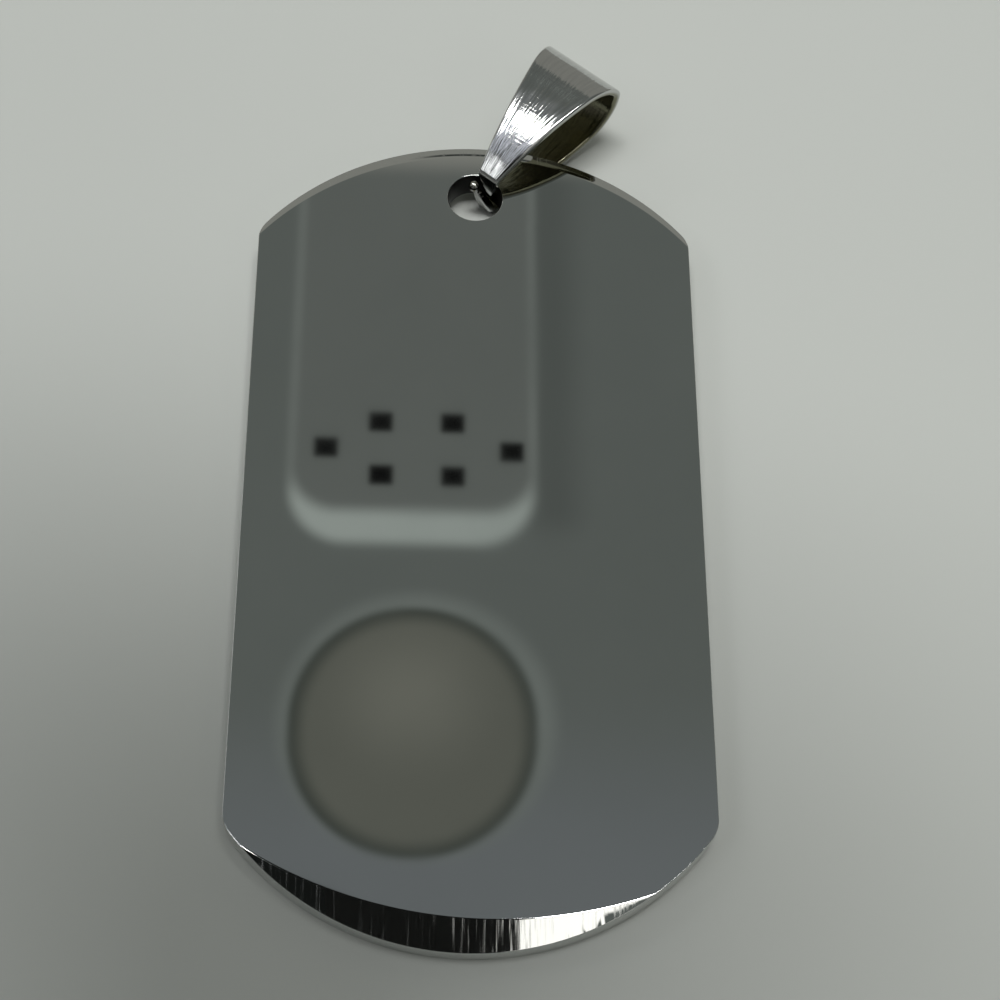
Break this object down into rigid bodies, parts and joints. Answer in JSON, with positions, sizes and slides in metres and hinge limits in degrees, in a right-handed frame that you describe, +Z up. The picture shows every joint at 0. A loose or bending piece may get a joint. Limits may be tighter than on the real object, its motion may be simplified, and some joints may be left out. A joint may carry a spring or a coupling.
{
  "type": "identification dog tag",
  "caption": "Polished steel identity tag: a flat plate with round, bevelled ends, and a folded bail held by claws in its hole.",
  "frame": {"origin": "on the surface under the middle of the whole tag as it lies, plate and bail together", "axes": "+Z up, away from the surface; +Y along the plate towards the end with the hole; +X to the right of the plate seen from its front"},
  "size_m": [0.028, 0.0611, 0.0067],
  "materials": {
    "plate_steel": "mirror-polished stainless steel",
    "bail_steel": "polished stainless steel with fine lengthwise polishing lines"
  },
  "bodies": {
    "tag": {"tag_plate": "plate_steel"},
    "bail": {"bail": "bail_steel"}
  },
  "joints": [
    {"name": "bail_swivel", "type": "hinge", "parent": "tag", "child": "bail", "pos_m": [0, 0.01928, 0.00164], "axis": [0, -0.0164, 0.9999], "range_deg": [-11.5, 88]}
  ]
}
